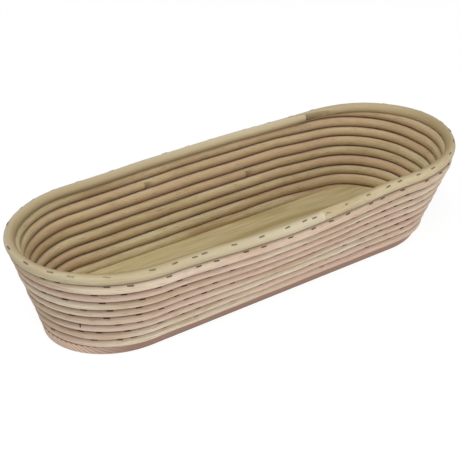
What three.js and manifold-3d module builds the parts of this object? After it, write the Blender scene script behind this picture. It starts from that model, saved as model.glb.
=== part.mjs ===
// Oblong proofing basket. Three lengths of round peeled cane are wound on a rebated wooden board,
// spliced end to end, and closed on top by a rim of two scarfed canes. Wire staples hold them.
// Millimetres, +Z up, +X along the basket, -Y is the front side, origin under the board's middle.
import * as THREE from "three";
import { mergeVertices } from "three/addons/utils/BufferGeometryUtils.js";
import Module from "manifold-3d";

const wasm = await Module();
wasm.setup();

// Wall: its foot outline is the centreline of the lowest turn
const footLength = 345.4;
const footWidth = 94.8;
const endLength = 55;
const wallTurns = 8;
const caneDiameter = 7.85;
const turnGap = 0.45;
const sideFlare = 16.9;
const endFlare = 18.9;
const frontBow = 7;
const backBow = 2.8;

// The climb from turn to turn: where it ends on the back side, from mid-length, and how long it is
const climbEnd = 78;
const climbLength = 131;

// Cut ends and splices of the canes: back side places are measured from mid-length
const wedgeEndThickness = 1.1;
const cutEndThickness = 2.5;
const spliceLength = 45;
const spliceGap = 0.3;
const lowerSpliceTurn = 4;
const lowerSplicePlace = 43;
const upperSpliceBelowTop = 1;
const upperSplicePlace = -53;

// Rim: an oval cane whose flatter face looks outwards and up
const rimWidth = 9.6;
const rimSideThickness = 7.6;
const rimEndThickness = 9;
const rimFaceAngle = 57;
const rimGap = 0.3;
const rimSideReach = -0.8;
const rimEndReach = 3.6;
const rimBackJointPlace = 109;
const rimFrontJointPlace = 9.5;
const rimJointLength = 105;

// Board
const boardThickness = 11.9;
const lipHeight = 7.5;
const lipSideReach = 0.2;
const lipEndReach = 3.2;
const lipBevel = 14;
const lipChamfer = 0.6;
const floorEdgeRounding = 0.6;
const seatGap = 0.3;

// Staples
const stapleCrown = 4.8;
const stapleLeg = 13;
const stapleWireThickness = 0.75;
const stapleWireWidth = 0.95;
const stapleBend = 0.3;
const stapleSink = 0.5;
const stapleClearance = 0.3;
const rimStapleCount = 47;
const rimStapleStart = -11;
const rimStapleAngle = 65;
const rimStapleSteps = [22, 19, 14, 23, 31, 17, 16, 8, 24, 23, 23, 16, 9, 16, 18, 22, 22, 13, 20, 17, 30];
const footStapleCount = 6;
const footStapleAngle = 35;

// Facets
const caneSides = 8;
const stepsPerEnd = 13;
const stepsPerSide = 6;
const stepsPerCut = 5;
const closestStations = 2;
const weldDistance = 1e-4;

// Sizes that follow
const caneRadius = caneDiameter / 2;
const rimRadius = rimWidth / 2;
const halfWidth = footWidth / 2;
const halfStraight = footLength / 2 - endLength;
const turnSpacing = caneDiameter + turnGap;
const turnRise = turnSpacing * Math.cos(THREE.MathUtils.degToRad(Math.min(sideFlare, endFlare)));
const turnSideReach = turnRise * Math.tan(THREE.MathUtils.degToRad(sideFlare));
const turnEndReach = turnRise * Math.tan(THREE.MathUtils.degToRad(endFlare));
const topLevel = wallTurns - 1;
const upperSpliceTurn = topLevel - upperSpliceBelowTop;
const footHeight = lipHeight + seatGap + caneRadius;
const topHeight = footHeight + topLevel * turnRise;
const rimFaceTurn = THREE.MathUtils.degToRad(rimFaceAngle);
const rimFace = new THREE.Vector2(Math.cos(rimFaceTurn), Math.sin(rimFaceTurn));

// Quarters of the outline, counter-clockwise from above
const rightEnd = 0;
const backSide = 1;
const leftEnd = 2;
const frontSide = 3;
const quarters = 4;

/** Point and outward normal of the foot outline at a place 0..4, one unit for each quarter. */
function footPoint(place) {
  const quarter = Math.floor(place) % quarters;
  const share = place - Math.floor(place);
  if (quarter === rightEnd || quarter === leftEnd) {
    const facing = quarter === rightEnd ? 1 : -1;
    const angle = (share - 0.5) * Math.PI;
    const [cosine, sine] = [Math.cos(angle), Math.sin(angle)];
    const point = new THREE.Vector2(halfStraight + endLength * cosine, halfWidth * sine);
    const normal = new THREE.Vector2(cosine / endLength, sine / halfWidth).normalize();
    return { point: point.multiplyScalar(facing), normal: normal.multiplyScalar(facing), bow: 0 };
  }
  const facing = quarter === backSide ? 1 : -1;
  const across = 1 - 2 * share;
  const point = new THREE.Vector2(halfStraight * across, halfWidth).multiplyScalar(facing);
  const bow = (quarter === backSide ? backBow : frontBow) * (1 - across ** 2) ** 2;
  return { point, normal: new THREE.Vector2(0, facing), bow };
}

/** Value at a place that changes smoothly from the long sides to the tips of the ends. */
function sideToEnd(place, sideValue, endValue) {
  const { normal } = footPoint((place + quarters) % quarters);
  return THREE.MathUtils.lerp(sideValue, endValue, normal.x ** 2);
}

/** Reach of the wall at a place, for each turn that it rises. */
function turnReach(place) {
  return sideToEnd(place, turnSideReach, turnEndReach);
}

/** Outline at a level of the wall, pushed out by a further offset: along the foot, with bowed sides. */
function outlinePoint(place, level, offset = 0) {
  const { point, normal, bow } = footPoint((place + quarters) % quarters);
  const raised = Math.max(level, 0);
  return point.addScaledVector(normal, raised * turnReach(place) + offset + (bow * raised) / topLevel);
}

/** Outward direction of the outline at a place, square to its run. */
function outlineNormal(place, level) {
  const step = 1e-4;
  const run = outlinePoint(place + step, level).sub(outlinePoint(place - step, level)).normalize();
  return new THREE.Vector2(run.y, -run.x);
}

/** Place on a side at a distance from mid-length towards +X. */
function sidePlace(quarter, distance) {
  const facing = quarter === backSide ? 1 : -1;
  return quarter + 0.5 - (facing * distance) / (2 * halfStraight);
}

/** Reach of the rim at a place, beyond the turn that carries it. */
function rimReach(place) {
  return sideToEnd(place, rimSideReach, rimEndReach);
}

/** Flatness of the rim's section at a place: its thickness for one unit of width. */
function rimFlatness(place) {
  return sideToEnd(place, rimSideThickness, rimEndThickness) / rimWidth;
}

/** Rise of the rim's centre at a place over the turn that it lies on. */
function rimRise(place) {
  const seat = rimRadius * Math.hypot(rimFlatness(place) * rimFace.y, rimFace.x);
  return caneRadius + rimGap + seat;
}

// Running lengths round the basket
const arcSamples = 400;
const readingTolerance = 1e-9;
const arcPlaces = Array.from({ length: arcSamples + 1 }, (_, i) => (i * quarters) / arcSamples);

/** Length run along a line round the basket, up to each of the sampled places. */
function runningLengths(pointAt) {
  const lengths = [0];
  for (let i = 1; i <= arcSamples; i += 1) {
    lengths.push(lengths[i - 1] + pointAt(arcPlaces[i - 1]).distanceTo(pointAt(arcPlaces[i])));
  }
  return lengths;
}

// Shares of a turn are measured along the outline at mid-height, from the end of the climb
const arcLengths = runningLengths((place) => outlinePoint(place, topLevel / 2));
const turnLength = arcLengths[arcSamples];
const rimLengths = runningLengths((place) => outlinePoint(place, topLevel, rimReach(place)));
const rimLength = rimLengths[arcSamples];

/** Linear reading of one rising list against another. */
function readAcross(value, from, to) {
  const next = Math.max(1, from.findIndex((entry) => entry >= value - readingTolerance));
  const part = (value - from[next - 1]) / (from[next] - from[next - 1]);
  return to[next - 1] + part * (to[next] - to[next - 1]);
}

const climbEndArc = readAcross(sidePlace(backSide, climbEnd), arcPlaces, arcLengths);
const climbShare = climbLength / turnLength;

/** Share of a turn, 0..1, at a place on the outline. */
function shareAt(place) {
  const arc = readAcross((place + quarters) % quarters, arcPlaces, arcLengths);
  return ((arc - climbEndArc + turnLength) % turnLength) / turnLength;
}

/** Place on the outline at a share of a turn. */
function placeAt(share) {
  const arc = (share * turnLength + climbEndArc) % turnLength;
  return readAcross(arc, arcLengths, arcPlaces);
}

/** Centre of the winding after a number of turns, with the wall's outward direction there. */
function wallPoint(turns) {
  const share = turns - Math.floor(turns);
  const climb = Math.max(0, 1 - (1 - share) / climbShare);
  const level = Math.floor(turns) + climb;
  const place = placeAt(share);
  // Before the first turn the cane lies straight under it, one spacing down
  const under = Math.hypot(turnRise, turnReach(place) * Math.sqrt(1 - climb ** 2));
  const height = footHeight + (level < 0 ? climb * turnRise - under : level * turnRise);
  return { centre: outlinePoint(place, level), normal: outlineNormal(place, level), height, flatness: 1 };
}

/** Centre of the rim after a number of turns. */
function rimPoint(turns) {
  const place = placeAt(turns - Math.floor(turns));
  const centre = outlinePoint(place, topLevel, rimReach(place));
  const height = topHeight + rimRise(place);
  return { centre, normal: outlineNormal(place, topLevel), height, flatness: rimFlatness(place) };
}

/** Point of a round section, pressed in along the direction of the rim's flatter face. */
function pressed(point, flatness) {
  return point.addScaledVector(rimFace, (flatness - 1) * point.dot(rimFace));
}

/** Section of a cane, cut flat on the side at a given angle, beyond a distance from its centre. */
function caneSection(radius, cut) {
  const halfStep = Math.PI / caneSides;
  const cutAngle = Math.acos(THREE.MathUtils.clamp(cut.distance / radius, -1, 1));
  const gapAngle = Math.max(cutAngle, halfStep);
  const first = Math.round(cut.angle / (360 / caneSides));
  return Array.from({ length: caneSides }, (_, side) => {
    const index = (side - first + 2 * caneSides) % caneSides;
    const turn = gapAngle + (index * 2 * (Math.PI - gapAngle)) / (caneSides - 1);
    const angle = THREE.MathUtils.degToRad(cut.angle) + turn;
    return new THREE.Vector2(radius * Math.cos(angle), radius * Math.sin(angle));
  });
}

/** Closed solid through rings of equally many points, capped flat at both ends. */
function loft(rings) {
  const sides = rings[0].length;
  const index = [];
  for (let ring = 0; ring < rings.length - 1; ring += 1) {
    for (let side = 0; side < sides; side += 1) {
      const a = ring * sides + side;
      const b = ring * sides + ((side + 1) % sides);
      index.push(a, a + sides, b, b, a + sides, b + sides);
    }
  }
  const last = (rings.length - 1) * sides;
  for (let side = 1; side < sides - 1; side += 1) {
    index.push(0, side, side + 1, last, last + side + 1, last + side);
  }
  const coordinates = rings.flat().flatMap((point) => point.toArray());
  const geometry = new THREE.BufferGeometry();
  geometry.setAttribute("position", new THREE.Float32BufferAttribute(coordinates, 3));
  geometry.setIndex(index);
  geometry.computeVertexNormals();
  return geometry;
}

/** Stations of a cane: the outline's own steps, and finer ones over each stretch that is cut. */
function caneStations(from, to, cutStretches) {
  const stations = [from, to];
  for (const stretch of cutStretches) {
    for (let step = 0; step <= stepsPerCut; step += 1) {
      stations.push(THREE.MathUtils.lerp(stretch.from, stretch.to, step / stepsPerCut));
    }
  }
  const shares = [];
  for (let quarter = 0; quarter < quarters; quarter += 1) {
    const steps = quarter === rightEnd || quarter === leftEnd ? stepsPerEnd : stepsPerSide;
    for (let step = 0; step < steps; step += 1) {
      shares.push(shareAt(quarter + step / steps));
    }
  }
  for (let turn = Math.floor(from); turn < to; turn += 1) {
    stations.push(...shares.map((share) => turn + share));
  }
  const closest = closestStations / turnLength;
  const isInside = (turns) => turns > from + closest && turns < to - closest;
  const inside = stations.filter(isInside).sort((a, b) => a - b);
  const spaced = inside.filter((turns, i) => i === 0 || turns - inside[i - 1] > closest);
  return [from, ...spaced, to];
}

/** One length of cane along a path, with a cut for each of its ends. */
function caneGeometry(pointAt, radius, from, to, cuts) {
  const rings = caneStations(from, to, cuts).map((turns) => {
    const { centre, normal, height, flatness } = pointAt(turns);
    const nearest = cuts.map((cut) => cut.at(turns, height)).sort((a, b) => a.distance - b.distance)[0];
    const section = caneSection(radius, nearest).map((p) => pressed(p, flatness));
    return section.map((p) => new THREE.Vector3(
      centre.x + normal.x * p.x, centre.y + normal.y * p.x, height + p.y,
    ));
  });
  return loft(rings);
}

/** Scarf joint of two canes, from where the later one's blunt end shows on the overlapping face. */
function scarf(shown, length, radius, overlapAngle, laterOverlaps) {
  const share = length / turnLength;
  const blunt = (cutEndThickness + spliceGap) / (2 * radius);
  const full = 1 - cutEndThickness / (2 * radius);
  const start = shown - (laterOverlaps ? blunt : full) * share;
  const earlierAngle = laterOverlaps ? overlapAngle : (overlapAngle + 180) % 360;
  const depth = (turns) => radius * (1 - (2 * (turns - start)) / share);
  const stretch = { from: start, to: start + share };
  return {
    laterFrom: start + blunt * share,
    earlierTo: start + full * share,
    earlier: { ...stretch, at: (turns) => ({ angle: earlierAngle, distance: depth(turns) }) },
    later: {
      ...stretch,
      at: (turns) => ({ angle: (earlierAngle + 180) % 360, distance: -depth(turns) - spliceGap }),
    },
  };
}

const upAngle = 90;
const inwardAngle = 180;
const downAngle = 270;
const outerTopAngle = 45;

// The winding starts as a wedge on the lip and ends as a wedge under the rim, both cut level
const wedgeClimb = Math.min((caneDiameter - wedgeEndThickness) / turnRise, 1);
const windingFrom = -climbShare * wedgeClimb;
const windingTo = wallTurns - climbShare * (1 - wedgeClimb);
const startWedge = {
  from: windingFrom,
  to: 0,
  at: (turns, height) => ({
    angle: downAngle,
    distance: turns < 1 ? height - footHeight + caneRadius : caneRadius,
  }),
};
const endWedge = {
  from: wallTurns - climbShare,
  to: windingTo,
  at: (turns, height) => ({ angle: upAngle, distance: topHeight + caneRadius - height }),
};

const lowerSpliceShown = lowerSpliceTurn + shareAt(sidePlace(backSide, lowerSplicePlace));
const upperSpliceShown = upperSpliceTurn + shareAt(sidePlace(backSide, upperSplicePlace));
const lowerSplice = scarf(lowerSpliceShown, spliceLength, caneRadius, inwardAngle, true);
const upperSplice = scarf(upperSpliceShown, spliceLength, caneRadius, inwardAngle, true);

const rimBackShown = shareAt(sidePlace(backSide, rimBackJointPlace));
const rimFrontShown = shareAt(sidePlace(frontSide, rimFrontJointPlace));
const rimBackJoint = scarf(rimBackShown, rimJointLength, rimRadius, inwardAngle, true);
const rimFrontJoint = scarf(rimFrontShown + 1, rimJointLength, rimRadius, outerTopAngle, false);
const rimBackJointBefore = scarf(rimBackShown + 1, rimJointLength, rimRadius, inwardAngle, true);

/** Least gap between neighbouring turns of one cane, measured on points of its centreline. */
function printLeastGap(name, from, to) {
  const samplesPerTurn = 360;
  const points = [];
  for (let turns = from; turns <= to; turns += 1 / samplesPerTurn) {
    const { centre, height } = wallPoint(turns);
    points.push(new THREE.Vector3(centre.x, centre.y, height));
  }
  let least = Infinity;
  for (let i = 0; i < points.length; i += 1) {
    for (let j = i + samplesPerTurn / 2; j < points.length; j += 1) {
      least = Math.min(least, points[i].distanceTo(points[j]));
    }
  }
  console.log(`${name}: least gap to itself ${(least - caneDiameter).toFixed(2)} mm`);
}

/** Wire staple: crown along X, legs down -Y with chisel points, its seat at the origin. */
function stapleGeometry() {
  const half = stapleCrown / 2;
  const inner = half - stapleWireThickness;
  const outline = new THREE.Shape();
  outline.moveTo(-half, stapleWireThickness - stapleLeg);
  outline.lineTo(-inner, -stapleLeg);
  outline.lineTo(-inner, 0);
  outline.lineTo(inner, 0);
  outline.lineTo(inner, -stapleLeg);
  outline.lineTo(half, stapleWireThickness - stapleLeg);
  outline.lineTo(half, stapleWireThickness - stapleBend);
  outline.lineTo(half - stapleBend, stapleWireThickness);
  outline.lineTo(stapleBend - half, stapleWireThickness);
  outline.lineTo(-half, stapleWireThickness - stapleBend);
  const geometry = new THREE.ExtrudeGeometry(outline, { depth: stapleWireWidth, bevelEnabled: false });
  return geometry.translate(0, 0, -stapleWireWidth / 2);
}

/** Placement of a staple on a cane: its crown lies along the cane at an angle above level, sunk into
 * the surface, and its legs point at an aim given outwards and upwards from the cane's centre. */
function staplePlacement({ centre, normal, height, flatness }, radius, angle, aim) {
  const raise = THREE.MathUtils.degToRad(angle);
  const round = new THREE.Vector2(Math.cos(raise), Math.sin(raise)).multiplyScalar(radius);
  const crown = pressed(round, flatness);
  const lean = crown.clone().sub(aim).normalize();
  const seat = crown.addScaledVector(lean, -stapleSink);
  const along = new THREE.Vector3(-normal.y, normal.x, 0);
  const out = new THREE.Vector3(normal.x * lean.x, normal.y * lean.x, lean.y);
  const placement = new THREE.Matrix4().makeBasis(along, out, along.clone().cross(out));
  return placement.setPosition(centre.x + normal.x * seat.x, centre.y + normal.y * seat.x, height + seat.y);
}

/** Solid for joining and cutting, from a closed geometry. */
function toSolid(geometry) {
  const bare = new THREE.BufferGeometry().setAttribute("position", geometry.getAttribute("position"));
  bare.setIndex(geometry.getIndex());
  const merged = mergeVertices(bare, weldDistance);
  const vertProperties = Float32Array.from(merged.getAttribute("position").array);
  const triVerts = Uint32Array.from(merged.getIndex().array);
  return new wasm.Manifold(new wasm.Mesh({ numProp: 3, vertProperties, triVerts }));
}

/** Geometry of a solid. */
function toGeometry(solid) {
  const { vertProperties, triVerts } = solid.getMesh();
  const geometry = new THREE.BufferGeometry();
  geometry.setAttribute("position", new THREE.BufferAttribute(vertProperties, 3));
  geometry.setIndex(new THREE.BufferAttribute(triVerts, 1));
  geometry.computeVertexNormals();
  return geometry;
}

/** Holes for the crown and the legs of a placed staple, with clearance all round. */
function stapleHoles(placement) {
  const width = stapleWireThickness + 2 * stapleClearance;
  const breadth = stapleWireWidth + 2 * stapleClearance;
  const mouth = 2 * stapleWireThickness;
  const crown = new THREE.BoxGeometry(stapleCrown + 2 * stapleClearance, mouth + stapleClearance, breadth);
  const leg = new THREE.BoxGeometry(width, stapleLeg + stapleClearance, breadth);
  const legPlace = (stapleCrown - stapleWireThickness) / 2;
  const holes = [
    crown.translate(0, (mouth - stapleClearance) / 2, 0),
    leg.clone().translate(-legPlace, -(stapleLeg + stapleClearance) / 2, 0),
    leg.clone().translate(legPlace, -(stapleLeg + stapleClearance) / 2, 0),
  ];
  return holes.map((hole) => toSolid(hole.applyMatrix4(placement)));
}

/** Geometry with the staple holes cut into it. */
function drilled(geometry) {
  return toGeometry(toSolid(geometry).subtract(allHoles));
}

/** Board: a lip that carries the lowest turn and a raised floor that fits inside it. */
function boardGeometry() {
  const floorOffset = -(caneRadius + seatGap);
  const slope = Math.tan(THREE.MathUtils.degToRad(lipBevel));
  const lipReach = (place) => sideToEnd(place, lipSideReach, lipEndReach);
  const lipOffset = (place, height) => lipReach(place) - (lipHeight - height) * slope;
  const profile = [
    [0, (place) => lipOffset(place, lipChamfer) - lipChamfer],
    [lipChamfer, (place) => lipOffset(place, lipChamfer)],
    [lipHeight, (place) => lipOffset(place, lipHeight)],
    [lipHeight, () => floorOffset],
    [boardThickness - floorEdgeRounding, () => floorOffset],
    [boardThickness, () => floorOffset - floorEdgeRounding],
  ];
  const places = [];
  for (let quarter = 0; quarter < quarters; quarter += 1) {
    const steps = quarter === rightEnd || quarter === leftEnd ? stepsPerEnd : 1;
    for (let step = 0; step < steps; step += 1) {
      places.push(quarter + step / steps);
    }
  }
  const clockwise = places.reverse();
  return loft(profile.map(([height, offset]) => clockwise.map((place) => {
    const point = outlinePoint(place, 0, offset(place));
    return new THREE.Vector3(point.x, point.y, height);
  })));
}

/** Placements of the rim staples, unevenly driven by hand, from the left end along the front. */
function rimStaplePlacements() {
  const steps = Array.from({ length: rimStapleCount }, (_, i) => rimStapleSteps[i % rimStapleSteps.length]);
  const evening = rimLength / steps.reduce((sum, step) => sum + step, 0);
  let run = readAcross(leftEnd + 0.5, arcPlaces, rimLengths) + rimStapleStart;
  return steps.map((step) => {
    const place = readAcross(run % rimLength, rimLengths, arcPlaces);
    const aim = new THREE.Vector2(-rimReach(place), -rimRise(place));
    run += step * evening;
    return staplePlacement(rimPoint(shareAt(place)), rimRadius, rimStapleAngle, aim);
  });
}

/** Placements of the staples that hold the lowest turn to the board, evenly spaced clear of the climb. */
function footStaplePlacements() {
  return Array.from({ length: footStapleCount }, (_, i) => {
    const turns = ((i + 0.5) * (1 - climbShare)) / footStapleCount;
    return staplePlacement(wallPoint(turns), caneRadius, footStapleAngle, new THREE.Vector2());
  });
}

const caneLook = { color: 0xd6bf97, roughness: 0.65, metalness: 0 };
const rimLook = { color: 0xe2d3aa, roughness: 0.6, metalness: 0 };
const boardLook = { color: 0xb08e6a, roughness: 0.75, metalness: 0 };
const stapleLook = { color: 0x8c8a86, roughness: 0.4, metalness: 0.9 };

/** Named mesh with a material of its own. */
function piece(name, geometry, look) {
  const mesh = new THREE.Mesh(geometry, new THREE.MeshStandardMaterial(look));
  mesh.name = name;
  return mesh;
}

const rimStaples = rimStaplePlacements();
const footStaples = footStaplePlacements();
const allHoles = wasm.Manifold.union([...rimStaples, ...footStaples].flatMap(stapleHoles));

const wall = new THREE.Group();
const wallCanes = [
  ["wall_cane_lower", windingFrom, lowerSplice.earlierTo, [startWedge, lowerSplice.earlier]],
  ["wall_cane_middle", lowerSplice.laterFrom, upperSplice.earlierTo, [
    lowerSplice.later, upperSplice.earlier,
  ]],
  ["wall_cane_upper", upperSplice.laterFrom, windingTo, [upperSplice.later, endWedge]],
];
for (const [name, from, to, cuts] of wallCanes) {
  const cane = caneGeometry(wallPoint, caneRadius, from, to, cuts);
  wall.add(piece(name, drilled(cane), caneLook));
  printLeastGap(name, from, to);
}

const rim = new THREE.Group();
const rimCanes = [
  ["rim_cane_left", rimBackJoint.laterFrom, rimFrontJoint.earlierTo, [
    rimBackJoint.later, rimFrontJoint.earlier,
  ]],
  ["rim_cane_right", rimFrontJoint.laterFrom, rimBackJointBefore.earlierTo, [
    rimFrontJoint.later, rimBackJointBefore.earlier,
  ]],
];
for (const [name, from, to, cuts] of rimCanes) {
  const cane = caneGeometry(rimPoint, rimRadius, from, to, cuts);
  rim.add(piece(name, drilled(cane), rimLook));
}

const staples = new THREE.Group();
/** Adds a numbered staple for each placement. */
function addStaples(prefix, placements) {
  placements.forEach((placement, i) => {
    const staple = piece(`${prefix}_${String(i + 1).padStart(2, "0")}`, stapleGeometry(), stapleLook);
    staple.applyMatrix4(placement);
    staples.add(staple);
  });
}
addStaples("rim_staple", rimStaples);
addStaples("foot_staple", footStaples);

const basket = new THREE.Group();
basket.add(piece("base_board", drilled(boardGeometry()), boardLook), wall, rim, staples);

export default basket;
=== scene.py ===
"""Looks of an oblong proofing basket: round cane wound on a wooden board and closed by a cane rim."""
import logging
import math
from dataclasses import dataclass, field
from enum import Enum, IntEnum
from typing import Any, Callable

import bpy
import numpy as np
from mathutils import Matrix, Vector

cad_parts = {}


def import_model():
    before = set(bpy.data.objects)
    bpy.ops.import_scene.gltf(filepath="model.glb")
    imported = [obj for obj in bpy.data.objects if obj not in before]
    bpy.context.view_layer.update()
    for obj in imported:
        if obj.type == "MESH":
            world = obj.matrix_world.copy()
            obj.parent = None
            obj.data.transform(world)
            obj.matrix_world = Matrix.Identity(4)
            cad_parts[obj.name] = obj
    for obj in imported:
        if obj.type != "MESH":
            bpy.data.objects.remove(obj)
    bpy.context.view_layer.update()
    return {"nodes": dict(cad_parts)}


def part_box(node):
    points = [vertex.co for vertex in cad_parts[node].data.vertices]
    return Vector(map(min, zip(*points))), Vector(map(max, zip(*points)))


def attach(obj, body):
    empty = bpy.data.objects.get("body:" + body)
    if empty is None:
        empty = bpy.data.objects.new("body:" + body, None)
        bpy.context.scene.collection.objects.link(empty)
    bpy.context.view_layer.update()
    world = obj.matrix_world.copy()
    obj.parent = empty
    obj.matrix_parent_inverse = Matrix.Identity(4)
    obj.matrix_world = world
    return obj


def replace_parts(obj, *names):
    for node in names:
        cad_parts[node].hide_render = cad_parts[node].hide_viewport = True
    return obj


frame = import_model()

MM = 0.001
FULL_TURN = 2 * math.pi
MIXED_COLOUR = 2  # Number of the colour among a Mix node's results.
GRAIN_SHIFT = 977  # Distance in mm along the noise from one cane to the next, for one unit of its seed.

log = logging.getLogger("proofing_basket")


class Quarter(IntEnum):
    """Quarters of the basket's outline, counter-clockwise from above."""

    RIGHT_END = 0
    BACK = 1
    LEFT_END = 2
    FRONT = 3


QUARTERS = len(Quarter)
PLACE_SAMPLES = 1601  # Number of places at which the outline's length is measured.


class Layer(Enum):
    """How a colour lies on the ones under it, by Blender's name of the blend."""

    PAINT = "MIX"
    STAIN = "MULTIPLY"


class Seed(IntEnum):
    """Seeds of the basket's natural unevenness."""

    STAPLE_SPACING = 4
    WALL_STAPLES = 9
    LOWER_CANE = 10
    MIDDLE_CANE = 20
    RIM_STAPLES = 21
    BOARD_STAPLES = 22
    UPPER_CANE = 30
    LEFT_RIM = 40
    RIGHT_RIM = 50


class CutSide(Enum):
    """Side of a cane that a cut takes away, as an angle in degrees: 0 is outwards and 90 is up."""

    OUTER_TOP = 45
    UP = 90
    INWARD = 180
    INNER_UNDER = 225
    OUTWARD = 0
    DOWN = 270

    @property
    def opposite(self) -> "CutSide":
        """The side that faces this one."""
        return CutSide((self.value + 180) % 360)


def soft_share(slant: np.ndarray) -> np.ndarray:
    """Share that grows with a slant of -1 to 1: a half plus 0.8 times the slant, kept within 0 and 1."""
    return np.clip(0.5 + 0.8 * slant, 0, 1)


def natural_drift(along: np.ndarray, wavelength: float, seed: int) -> np.ndarray:
    """Slow uneven drift, about -1 to 1: a sum of five sines of nearby wavelengths with seeded phases.

    Args:
        along: Distances in mm.
        wavelength: Typical distance in mm from crest to crest.
        seed: Seed of the phases.

    Returns:
        One value for each distance.
    """
    rng = np.random.default_rng(seed)
    count = 5
    shortest, longest = 0.6, 1.7
    waves = wavelength * rng.uniform(shortest, longest, count)
    phases = rng.uniform(0, FULL_TURN, count)
    angles = along[:, None] * FULL_TURN / waves + phases
    return np.sin(angles).sum(axis=1) / math.sqrt(count)


@dataclass(frozen=True)
class WallPath:
    """Points of a cane's centreline, in mm.

    Attributes:
        centre: Points, one row each.
        outward: Level unit vectors that point out of the basket.
        radius: Half the width of the cane's section.
        flatness: Thickness of the section for one unit of its width.
    """

    centre: np.ndarray
    outward: np.ndarray
    radius: np.ndarray
    flatness: np.ndarray


@dataclass(frozen=True)
class BasketForm:
    """Form of the wall, in mm and degrees: an oblong foot outline that flares and bows on its way up.

    Attributes:
        foot_length: Length of the foot outline, which is the first turn's centreline.
        foot_width: Width of the foot outline.
        end_length: Length of the half ellipse at each end.
        wall_turns: Number of turns of the winding.
        turn_spacing: Distance from turn to turn along the slanted wall.
        side_flare: Slant of the long sides from upright.
        end_flare: Slant of the ends from upright.
        front_bow: How far the front side bows out at the top.
        front_skew: How much more it bows on the left and less on the right, as a share.
        back_bow: How far the back side bows out at the top.
        climb_end: Place of the climb's end on the back, from mid-length towards the right end.
        climb_length: Length over which the winding climbs to the next level.
        wedge_reach: Share of a turn's lean that the wedge under the rim takes.
        foot_height: Height of the first turn's centre.
        first_turn_gain: How much thicker the first turn is, as a share.
        first_turn_fade: Levels over which that gain fades.
        lip_height: Height of the board's lip, which carries the first turn.
        touch: How much the radius is over half the distance of the turns, so that they touch.
        thick_and_thin: How much thicker or thinner a turn gets, as a share.
        thickest_turn: Turns run at which a turn is thickest.
        rim_side_width: Width of the rim's section on the long sides.
        rim_end_width: Width of the rim's section at the ends.
        rim_side_thickness: Thickness of the rim's section on the long sides.
        rim_end_thickness: Thickness of the rim's section at the ends.
        rim_face: Angle of the section along which the rim's thickness is measured.
        rim_side_rise: Height of the rim's centre above the last turn's, on the long sides.
        rim_end_rise: Height of the rim's centre above the last turn's, at the ends.
        rim_side_reach: How far out the rim's centre lies from the last turn's, on the long sides.
        rim_end_reach: How far out the rim's centre lies from the last turn's, at the ends.
        places: Sampled places round the outline, one unit for each quarter.
    """

    foot_length: float = 345.4
    foot_width: float = 94.8
    end_length: float = 55.0
    wall_turns: int = 8
    turn_spacing: float = 8.3
    side_flare: float = 16.9
    end_flare: float = 18.9
    front_bow: float = 5.8
    front_skew: float = 0.5
    back_bow: float = 2.8
    climb_end: float = 78.0
    climb_length: float = 131.0
    wedge_reach: float = 0.3
    foot_height: float = 12.8
    first_turn_gain: float = 0.12
    first_turn_fade: float = 0.3
    lip_height: float = 7.5
    touch: float = 0.12
    thick_and_thin: float = 0.045
    thickest_turn: float = 3.15
    rim_side_width: float = 8.5
    rim_end_width: float = 7.3
    rim_side_thickness: float = 7.8
    rim_end_thickness: float = 9.4
    rim_face: float = 57.0
    rim_side_rise: float = 7.2
    rim_end_rise: float = 7.4
    rim_side_reach: float = -0.8
    rim_end_reach: float = 3.6
    places: np.ndarray = field(default_factory=lambda: np.linspace(0, QUARTERS, PLACE_SAMPLES))

    @property
    def half_straight(self) -> float:
        """Half the length of the straight sides."""
        return self.foot_length / 2 - self.end_length

    @property
    def turn_rise(self) -> float:
        """Height from turn to turn."""
        return self.turn_spacing * math.cos(math.radians(min(self.side_flare, self.end_flare)))

    @property
    def top_level(self) -> int:
        """Level of the last turn, counted from the foot."""
        return self.wall_turns - 1

    @property
    def top_height(self) -> float:
        """Height of the last turn's centre."""
        return self.foot_height + self.top_level * self.turn_rise

    def foot(self, place: np.ndarray) -> tuple[np.ndarray, np.ndarray, np.ndarray]:
        """Foot outline: half ellipses at the ends, straight sides, one unit of place for each quarter.

        The bow fades from mid-length to both ends of a side: its depth times the square of one less the
        squared distance from mid-length, in half lengths of the side.

        Args:
            place: Places round the outline.

        Returns:
            Points, outward unit normals and the bow of the side there.
        """
        quarter = np.floor(place).astype(int) % QUARTERS
        share = place - np.floor(place)
        facing = np.where(quarter < Quarter.LEFT_END, 1.0, -1.0)[:, None]
        angle = (share - 0.5) * math.pi
        half_width = self.foot_width / 2
        end_x = self.half_straight + self.end_length * np.cos(angle)
        end_point = np.stack([end_x, half_width * np.sin(angle)], axis=1)
        end_normal = np.stack([np.cos(angle) / self.end_length, np.sin(angle) / half_width], axis=1)
        end_normal /= np.linalg.norm(end_normal, axis=1, keepdims=True)
        across = 1 - 2 * share
        side_point = np.stack([self.half_straight * across, np.full_like(share, half_width)], axis=1)
        side_normal = np.broadcast_to([0.0, 1.0], side_point.shape)
        is_end = np.isin(quarter, (Quarter.RIGHT_END, Quarter.LEFT_END))[:, None]
        leftward = self.front_bow * (1 + self.front_skew * across)
        depth = np.where(quarter == Quarter.BACK, self.back_bow, leftward)
        bow = np.where(is_end[:, 0], 0.0, depth * (1 - across**2) ** 2)
        point = np.where(is_end, end_point, side_point) * facing
        normal = np.where(is_end, end_normal, side_normal) * facing
        return point, normal, bow

    def side_to_end(self, place: np.ndarray, side: float, end: float) -> np.ndarray:
        """Value that blends from the long sides to the tips of the ends, by the normal's slant."""
        return side + (end - side) * self.foot(place)[1][:, 0] ** 2

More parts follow.
